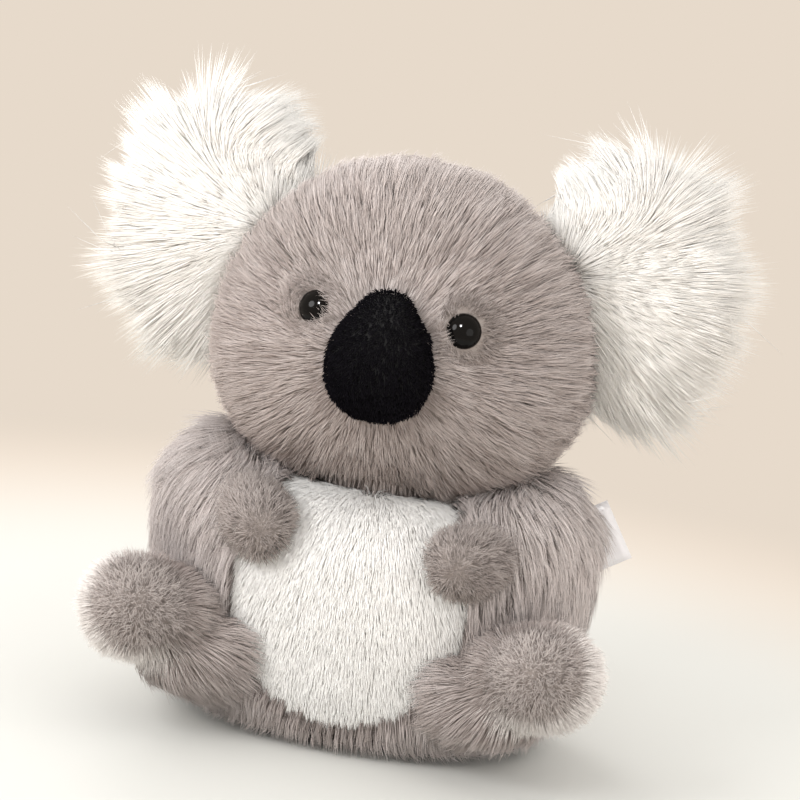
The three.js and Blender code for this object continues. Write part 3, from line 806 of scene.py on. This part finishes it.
# A pale tuft lies under the left eye, which stands clear of the fur. Over the right eye the fur leans in.
tuft_at = eyes_at[0] + np.array([-0.0005, 0.003, -0.0095])
TUFT_RADIUS = 0.0028
EYES_BARE = (0.0066, 0.006)
EYES_LEAN_IN = (0.0, 2.0)
LEAN_OUT = -2.0
EYE_RING = (0.0105, 0.0065)
EYE_EDGE_PILE = 0.0022
LEAN_IN_PILE = 0.0016
MUZZLE_PILE = 0.0065
CHEEK_PILE = 0.014
NAPE_DEPTHS = (-0.005, 0.03)
MUZZLE_EDGE = (1.0, 2.4)
SHADOW_EDGE = (1.5, 1.0)
SHADOW_DROP = (0.0, 0.012)
CHIN_SHADE = (0.104, 0.084)
FOREHEAD = (0.15, 0.175)
for name, guide, per_mm2, node in (
    ("face_fur", face_guide, 4.1, "face_panel"),
    ("nape_fur", nape_guide, 2.0, "head_back_panel"),
):
    spots = places(guide)[0]
    behind = smooth(spots[:, 1:2], *NAPE_DEPTHS)
    comb = unit(spots - nose_at) * (1 - behind) + DOWN * behind
    off_nose = np.linalg.norm(((spots - nose_at) / nose_half)[:, (0, 2)], axis=1)
    pile = MUZZLE_PILE + (CHEEK_PILE - MUZZLE_PILE) * smooth(off_nose, *MUZZLE_EDGE)
    thick = np.ones(len(spots))
    # Painted shade: the tone darkens under the chin, and below the nose where its shadow falls.
    shade = 0.35 * smooth(spots[:, 2], *CHIN_SHADE)
    shade += 0.4 * smooth(off_nose, *SHADOW_EDGE) * smooth(nose_at[2] - spots[:, 2], *SHADOW_DROP)
    rim = np.zeros(len(spots))
    for eye_at, bare, lean_in in zip(eyes_at, EYES_BARE, EYES_LEAN_IN):
        off_eye = np.linalg.norm(spots - eye_at, axis=1)
        around = smooth(off_eye, *EYE_RING)
        beside = unit(spots - eye_at)[:, :1] ** 2
        turn_in = beside * lean_in if lean_in else LEAN_OUT
        comb = comb + unit(eye_at - spots) * around[:, None] * turn_in
        pile = np.minimum(pile, EYE_EDGE_PILE + np.maximum(off_eye - bare, 0) * 1.1)
        pile += LEAN_IN_PILE * around * (lean_in > 0)
        thick *= off_eye > bare
        # Round each eye the tone darkens: partly the fur's own darker ring, partly painted shade of the
        # hollow the eye sits in.
        shade += 0.55 * around
        rim = np.maximum(rim, around * (off_eye > bare))
    # Paler on top of the head: in part the fur's own paler fuzz, in part a painted highlight of the light
    # from above.
    tone = 0.48 - shade + 0.4 * smooth(spots[:, 2], *FOREHEAD)
    tone += 0.8 * (np.linalg.norm(spots - tuft_at, axis=1) < TUFT_RADIUS)
    groom(guide, comb, pile, stand=0.17, tone=tone, thick=thick)
    furred(name, guide, "head", per_mm2, grey_fur)
    if name == "face_fur":
        # A ring of dark short pile round each eye: partly dark fur, partly painted shade of the eye's
        # hollow.
        groom(guide, comb, pile=0.0042, stand=0.45, tone=0.1, thick=rim)
        furred("eye_rim_fur", guide, "head", per_mm2=6.0, finish=plush_grey)
    backed(guide, "head", node, grey_backing)
wadding("head_wadding", "head_stuffing", "head")


# Nose: a padded oval of black short-pile fleece sewn over its own filling.
# The fleece stands almost upright and is kept very short, so that it shows as a fine matt grain.
black_fleece = {
    "Strand width": 0.00037,
    "Arch": 1.0,
    "Stray": 0.35,
    "Lock size": 0.0016,
    "Lock pull": 0.3,
    "Lock stray": 0.4,
    "Lock unevenness": 0.1,
    "Roundness": 0.7,
    "Both sides lit": 0.0,
    "Tone spread": 0.5,
    "Fibre": fibre(
        "black polyester fleece pile",
        dark=("030304", "060508", "0C0B0F"),
        light=("060508", "0E0D11", "211F25"),
        gloss=0.02,
    ),
}
black_backing = knit("knitted black polyester backing", "08080A", "0E0D10", pitch=0.001)
nose_skin = stuffed("nose_skin", ["nose_cover", "nose_stuffing"], grid=0.002, slack=0.0004, puff=0.0012)
(nose_guide,) = panels(nose_skin, ["nose_cover"])
groom(nose_guide, (0.0, -0.2, -0.4), pile=0.0021, stand=0.55)
furred("nose_fleece", nose_guide, "head", per_mm2=5.8, finish=black_fleece)
backed(nose_guide, "head", "nose_cover", black_backing)
wadding("nose_wadding", "nose_stuffing", "head")


# Eyes: moulded glossy black plastic domes, each with a stem through the face to a nylon washer.
# The dome is turned as one smooth closed lathe on the CAD eye's own axis; the washer keeps its CAD form.
# Polished plastic mirrors the room sharply, with a faint unevenness from the mould.
moulded, tree = material("injection-moulded black plastic")
MOULD_WAVE = 0.00111
speck = add_node(
    tree,
    "ShaderNodeTexNoise",
    {
        "Vector": add_node(tree, "ShaderNodeTexCoord").outputs["Object"],
        "Scale": 1 / MOULD_WAVE,
        "Detail": 2.0,
    },
)
gloss = add_node(
    tree, "ShaderNodeMapRange", {"Value": speck.outputs["Fac"], "To Min": 0.05, "To Max": 0.09}
)
dome = add_node(
    tree,
    "ShaderNodeBsdfPrincipled",
    {"Base Color": linear("0B0A0A"), "Roughness": gloss.outputs["Result"], "Specular IOR Level": 0.14},
)
add_node(tree, "ShaderNodeOutputMaterial", {"Surface": dome.outputs["BSDF"]})

# Natural nylon is a milky off-white with a satin face, slightly hazy from place to place.
nylon, tree = material("injection-moulded natural nylon")
HAZE_PATCH = 0.0025
haze = add_node(
    tree,
    "ShaderNodeTexNoise",
    {
        "Vector": add_node(tree, "ShaderNodeTexCoord").outputs["Object"],
        "Scale": 1 / HAZE_PATCH,
        "Detail": 2.0,
    },
)
tint = add_node(
    tree,
    "ShaderNodeMix",
    {"Factor": haze.outputs["Fac"], "A": linear("DAD6CB"), "B": linear("E6E3DA")},
    data_type="RGBA",
)
disc = add_node(
    tree, "ShaderNodeBsdfPrincipled", {"Base Color": tint.outputs["Result"], "Roughness": 0.4}
)
add_node(tree, "ShaderNodeOutputMaterial", {"Surface": disc.outputs["BSDF"]})

RIM_BEVEL = 0.0004
DOME_STEPS = 12
TURNS = 40
for hand in ("left", "right"):
    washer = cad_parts["eye_washer_" + hand]
    washer.data.materials.clear()
    washer.data.materials.append(nylon)
    eye_spots = places(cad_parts["eye_" + hand])[0]
    foot = places(washer)[0].mean(0)
    axis = unit(eye_spots.mean(0) - foot)
    high = (eye_spots - foot) @ axis
    out = np.linalg.norm(eye_spots - foot - np.outer(high, axis), axis=1)
    radius, top, bottom = out.max(), high.max(), high.min()
    stem = out[high < bottom + 1e-5].max()
    rim = high[out > radius * 0.99]
    under, over = rim.min(), rim.max()
    profile = [(0.0, bottom), (stem, bottom), (stem, under)]
    profile += [(radius * 0.96, under), (radius, under + RIM_BEVEL), (radius, over)]
    for step in range(1, DOME_STEPS + 1):
        turn = step / DOME_STEPS * math.pi / 2
        profile.append((radius * math.cos(turn), over + (top - over) * math.sin(turn)))
    form = bmesh.new()
    line = [form.verts.new((r, 0, z)) for r, z in profile]
    edges = [form.edges.new(pair) for pair in zip(line, line[1:])]
    bmesh.ops.spin(form, geom=line + edges, cent=(0, 0, 0), axis=(0, 0, 1), angle=math.tau, steps=TURNS)
    bmesh.ops.remove_doubles(form, verts=form.verts, dist=WELD_WITHIN)
    bmesh.ops.recalc_face_normals(form, faces=form.faces)
    eye = built(f"eye_{hand}_dome", form)
    lean = Vector(axis).to_track_quat("Z", "Y").to_matrix().to_4x4()
    eye.data.transform(Matrix.Translation(foot) @ lean)
    eye.data.shade_smooth()
    worn(eye, "head", "eye_" + hand, moulded)


# Ears: flat pads sewn on at the sides of the head, with very long white pile in front and grey behind.
# The pile fans out from the root of the ear, and each strand is about as long as its way out of the CAD
# ear: unevenly, in tufts, and in front longest at the lower outer side.
ear_fur = dict(
    white_fur,
    **{
        "Strand width": 0.0003,
        "Arch": 0.4,
        "Stray": 0.07,
        "Lock size": 0.0055,
        "Lock pull": 0.12,
        "Lock stray": 0.13,
        "Lock unevenness": 0.7,
        "Roundness": 1.4,
        "Both sides lit": 1.0,
    },
)
ear_sides = (
    {
        "fur": "_front_fur",
        "slot": "white_fur",
        "finish": ear_fur,
        "fabric": white_backing,
        "facing": -1,
        "stand": 0.06,
        "beyond": 0.006,
        "longest": 0.03,
        "low_tuft": 0.5,
        "tone": 0.4,
        "per_mm2": 4.4,
    },
    {
        "fur": "_rear_fur",
        "slot": "grey_fur",
        "finish": grey_fur,
        "fabric": grey_backing,
        "facing": 1,
        "stand": 0.16,
        "beyond": -0.007,
        "longest": 0.013,
        "low_tuft": 0.0,
        "tone": 0.55,
        "per_mm2": 2.7,
    },
)
PAD_SHARE = (0.72, 0.9, 0.74)
PAD_IN = 0.006
PAD_DOWN = 0.002
FAN_IN = 0.024
FAN_BACK = 0.004
CROWN_SIDES = (-0.006, 0.012)
CROWN_HEIGHTS = (0.012, 0.028)
CROWN_TURN = 0.05
LOW_TUFT_AT = -0.85
LOW_TUFT_WIDE = 0.4
FLAT_FACE = (0.1, 0.45)
SHORTEST_TUFT = 0.006
WAY_OUT = 0.008
for hand, sign in (("left", 1), ("right", -1)):
    body = "ear_" + hand
    nodes = [body + "_front", body + "_back"]
    pad = joined(body + "_pad", nodes)
    shaped(
        pad,
        ("REMESH", {"mode": "VOXEL", "voxel_size": 0.003}),
        ("SMOOTH", {"factor": 0.5, "iterations": 8}),
    )
    spots = places(pad)[0]
    pad_at = (spots.min(0) + spots.max(0)) / 2
    spots = pad_at + (spots - pad_at) * PAD_SHARE + (-sign * PAD_IN, 0.0, -PAD_DOWN)
    outside = surface(nodes)
    fan_at = pad_at + (-sign * FAN_IN, FAN_BACK, 0.0)
    for guide, node, side in zip(panels(put(pad, spots), nodes), nodes, ear_sides):
        stand = side["stand"]
        spots, outward = places(guide)
        inward = smooth((pad_at - spots)[:, 0] * sign, *CROWN_SIDES)
        crown = inward * smooth(spots[:, 2] - pad_at[2], *CROWN_HEIGHTS)
        away = unit((spots - fan_at) * (1, 0.4, 1) + np.outer(crown * CROWN_TURN, (-sign, 0.0, 0.2)))
        turn = np.arctan2(away[:, 2], away[:, 0] * sign)
        tuft = 1 + 0.14 * np.sin(7 * turn + 2 * sign) + 0.1 * np.sin(12 * turn)
        tuft += side["low_tuft"] * np.exp(-(((turn - LOW_TUFT_AT) / LOW_TUFT_WIDE) ** 2))
        pile = []
        for start, way in zip(spots, unit(away * (1 - stand) + outward * stand)):
            far = outside.ray_cast(Vector(start), Vector(way))[3] or WAY_OUT
            pile.append(min(max(far + side["beyond"], SHORTEST_TUFT), side["longest"]))
        flat = smooth(outward[:, 1] * side["facing"], *FLAT_FACE)
        groom(guide, away, np.array(pile) * tuft, stand, side["tone"], flat)
        furred(body + side["fur"], guide, body, side["per_mm2"], side["finish"])
        backed(guide, body, node, side["fabric"])


# Arms: stuffed grey tubes pinched at the wrist, so that each ends in a round paw.
# Short pile radiates from the paw's tip, and behind the wrist long pile runs back to the shoulder.
def pinched(skin, at, way, width, depth):
    """The skin drawn in by depth around the point at, in a ring across way."""
    spots = places(skin)[0]
    along = (spots - at) @ way
    aside = spots - at - np.outer(along, way)
    ring = depth * np.exp(-((along / width) ** 2))
    return put(skin, spots - unit(aside) * ring[:, None])


WRIST = 0.027
PAW_EDGE = (WRIST, 0.022)
for hand in ("left", "right"):
    body = "arm_" + hand
    skin = stuffed(body + "_skin", [body + "_stuffing"], grid=0.004, slack=0.0, puff=0.0022)
    spots = places(skin)[0]
    tip = spots[np.argmin(spots[:, 1])]
    way = unit(tip - spots[np.argmax(spots[:, 1])])
    pinched(skin, tip - way * WRIST, way, width=0.006, depth=0.0028)
    (guide,) = panels(skin, [body + "_sleeve"])
    spots = places(guide)[0]
    off = np.linalg.norm(spots - tip, axis=1)
    paw = smooth(off, *PAW_EDGE)
    # The sleeve's long pile is paler, in part as painted light where the arm catches the light.
    groom(guide, spots - tip, pile=0.0135, stand=0.24, tone=1.1, thick=1 - paw)
    furred(body + "_sleeve_fur", guide, body, per_mm2=3.2, finish=grey_fur)
    # The paw's short pile is darker, in part as painted shade from the little light that comes from
    # below.
    groom(guide, spots - tip, pile=0.005, stand=0.75, tone=0.45, thick=paw)
    furred(body + "_paw_fur", guide, body, per_mm2=6.0, finish=plush_grey)
    backed(guide, body, body + "_sleeve", grey_backing)
    wadding(body + "_wadding", body + "_stuffing", body)


# Legs: short stuffed grey tubes, each closed by a round sole panel that faces forwards.
# Short pile radiates from the middle of the sole and darkens towards its seam on the inner side, as
# painted shade in the crease. Round it the pile is pale at the outer side as painted rim light, and on
# the rest of the leg long and grey, darker in part as painted shade.
# A paler copy of the grey pile, put only on the outer side round the sole: painted rim light.
rim_lit_fur = dict(
    grey_fur,
    **{
        "Strand width": 0.00017,
        "Stray": 0.12,
        "Lock stray": 0.1,
        "Lock unevenness": 0.1,
        "Fibre": fibre(
            "rim-lit grey polyester fur pile",
            dark=("8C827C", "B9AFAA", "D8D1CD"),
            light=("AFA5A0", "E2DBD7", "FAF6F2"),
            gloss=0.3,
        ),
    },
)
SEAM_GAP = 0.0008
ANKLE = 0.006
SOLE_IN = 0.004
SOLE_UP = 0.003
CORE_EDGE = (0.0155, 0.0125)
RUFF_EDGE = (0.027, 0.019)
CREASE_SHADE_EDGE = (0.007, 0.014)
OUTER_SIDE = (-0.002, 0.012)
for hand, sign in (("left", 1), ("right", -1)):
    body = "leg_" + hand
    nodes = [body + "_upper", body + "_sole"]
    skin = stuffed(body + "_skin", [body + "_stuffing"], grid=0.004, slack=0.0, puff=0.0025)
    upper = surface([nodes[0]])
    sole_spots = places(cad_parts[nodes[1]])[0]
    seam = np.array([p for p in sole_spots if upper.find_nearest(Vector(p))[3] < SEAM_GAP])
    seam_at = seam.mean(0)
    facing = np.linalg.svd(seam - seam_at)[2][2]
    facing *= -np.sign(facing[1])
    pinched(skin, seam_at - facing * ANKLE, facing, width=0.005, depth=0.0035)
    spots = places(skin)[0]
    sole_at = spots[np.argmax(spots @ (0.0, -1.0, 0.15))] + (-sign * SOLE_IN, 0.0, SOLE_UP)
    for guide, node in zip(panels(skin, nodes), nodes):
        spots = places(guide)[0]
        away = spots - sole_at
        off = np.linalg.norm(away, axis=1)
        outer = smooth(away @ (0.8 * sign, 0.0, -0.6), *OUTER_SIDE)
        core = smooth(off, *CORE_EDGE)
        ruff = smooth(off, *RUFF_EDGE)
        # Painted rim light: the pale pile round the sole, on its outer side only.
        rim_lit = np.maximum(ruff - core, 0) * outer
        # Painted shade: the sole's pile darkens towards its seam on the inner side, in the crease.
        crease_shade = smooth(off, *CREASE_SHADE_EDGE) * (1 - outer)
        rest = 1 - core - rim_lit
        groom(guide, away, pile=0.0045, stand=0.8, tone=1.05 - 0.85 * crease_shade, thick=core)
        furred(node + "_plush", guide, body, per_mm2=6.5, finish=plush_grey)
        # The fringe is paler still towards the outer side: painted rim light.
        groom(guide, away, pile=0.0065, stand=0.5, tone=0.4 + 0.6 * outer, thick=rim_lit)
        furred(node + "_fringe", guide, body, per_mm2=6.0, finish=rim_lit_fur)
        # The leg's long pile is darker, in part as painted shade from the little light that comes from
        # below.
        groom(guide, away, pile=0.0125 - 0.005 * ruff, stand=0.26 + 0.1 * ruff, tone=0.25, thick=rest)
        furred(node + "_fur", guide, body, per_mm2=3.3, finish=grey_fur)
        backed(guide, body, node, grey_backing)
    wadding(body + "_wadding", body + "_stuffing", body)


# Floor: a wide pale board under the toy, near white around it and warm beige farther off.
# It is stage only, painted matt so that it takes the toy's soft shadow.
def looked_at(tree):
    """1 for rays that see a thing straight or mirrored, and 0 for those that only light the toy."""
    rays = add_node(tree, "ShaderNodeLightPath").outputs
    seen = rays["Is Camera Ray"]
    for kind in ("Is Glossy Ray", "Is Transmission Ray"):
        seen = add_node(tree, "ShaderNodeMath", {0: seen, 1: rays[kind]}, operation="MAXIMUM").outputs[0]
    return seen


WALL_BEIGE = linear("E7DACB")
FLOOR_SIZE = 12.0
painted, tree = material("matt painted board")
away_from = add_node(
    tree,
    "ShaderNodeVectorMath",
    {0: add_node(tree, "ShaderNodeTexCoord").outputs["Object"]},
    operation="LENGTH",
).outputs["Value"]
fade = add_node(
    tree,
    "ShaderNodeMapRange",
    {"Value": away_from, "From Min": 0.16, "From Max": 0.42},
    interpolation_type="SMOOTHSTEP",
)
tint = add_node(
    tree,
    "ShaderNodeMix",
    {"Factor": fade.outputs["Result"], "A": linear("CFCFCB"), "B": linear("DCCDBE")},
    data_type="RGBA",
)
board = add_node(
    tree, "ShaderNodeBsdfPrincipled", {"Base Color": tint.outputs["Result"], "Roughness": 0.9}
)
far_off = add_node(
    tree, "ShaderNodeMath", {0: looked_at(tree), 1: fade.outputs["Result"]}, operation="MULTIPLY"
)
air = add_node(tree, "ShaderNodeEmission", {"Color": WALL_BEIGE})
both = add_node(
    tree,
    "ShaderNodeMixShader",
    {0: far_off.outputs[0], 1: board.outputs["BSDF"], 2: air.outputs["Emission"]},
)
add_node(tree, "ShaderNodeOutputMaterial", {"Surface": both.outputs["Shader"]})
form = bmesh.new()
bmesh.ops.create_grid(form, x_segments=1, y_segments=1, size=FLOOR_SIZE)
floor = built("floor", form)
floor.data.materials.append(painted)


# Light and camera: a soft key from the left, a weak fill and a rim from behind, in a pale room, and a
# small lamp that only makes the glint in the eyes.
# The camera looks from the front, slightly right and above, rolled as in the photograph.
world = bpy.data.worlds.new("pale room")
bpy.context.scene.world = world
world.use_nodes = True
world.node_tree.nodes.clear()
tree = world.node_tree
height = add_node(
    tree, "ShaderNodeSeparateXYZ", {0: add_node(tree, "ShaderNodeTexCoord").outputs["Generated"]}
).outputs["Z"]
glow = add_node(
    tree, "ShaderNodeMapRange", {"Value": height, "From Min": -1.0, "To Min": 0.75, "To Max": 1.4}
).outputs["Result"]
room = add_node(tree, "ShaderNodeBackground", {"Color": linear("FFFCF8"), "Strength": glow})
wall = add_node(tree, "ShaderNodeBackground", {"Color": WALL_BEIGE})
both = add_node(
    tree,
    "ShaderNodeMixShader",
    {0: looked_at(tree), 1: room.outputs["Background"], 2: wall.outputs["Background"]},
)
add_node(tree, "ShaderNodeOutputWorld", {"Surface": both.outputs["Shader"]})
aim = Vector((0.0, -0.005, 0.095))
for name, place_at, size, power in (
    ("key", (-0.75, -0.8, 0.6), 0.6, 8.0),
    ("fill", (0.9, -0.8, 0.3), 0.8, 2.5),
    ("rim", (-0.5, 0.75, 0.6), 0.5, 2.5),
    ("glint", (-0.05, -0.8, 0.75), 0.17, 14.0),
):
    lamp = bpy.data.lights.new(name, "AREA")
    lamp.shape = "DISK"
    lamp.size = size
    lamp.energy = power
    lit = added(name, lamp)
    lit.location = place_at
    lit.visible_diffuse = name != "glint"
    lit.rotation_euler = (aim - Vector(place_at)).to_track_quat("-Z", "Y").to_euler()

CAMERA_FAR = 0.8
CAMERA_RIGHT = 0.00304
CAMERA_UP = 0.00758
azimuth = math.radians(6.74)
elevation = math.radians(10.5)
roll = math.radians(8.17)
level = Vector((math.cos(azimuth), math.sin(azimuth), 0.0))
ahead = Vector((math.sin(azimuth), -math.cos(azimuth), 0.0))
toward = ahead * math.cos(elevation) + Vector((0.0, 0.0, math.sin(elevation)))
upright = toward.cross(level)
right = level * math.cos(roll) + upright * math.sin(roll)
up = upright * math.cos(roll) - level * math.sin(roll)
lens = bpy.data.cameras.new("camera")
lens.lens = 117.3
lens.sensor_width = 36.0
lens.sensor_fit = "HORIZONTAL"
camera = added("camera", lens)
stand_at = aim + right * CAMERA_RIGHT + up * CAMERA_UP + toward * CAMERA_FAR
camera.matrix_world = Matrix.Translation(stand_at) @ Matrix((right, up, toward)).transposed().to_4x4()
bpy.context.scene.camera = camera
bpy.context.scene.view_settings.view_transform = "Standard"
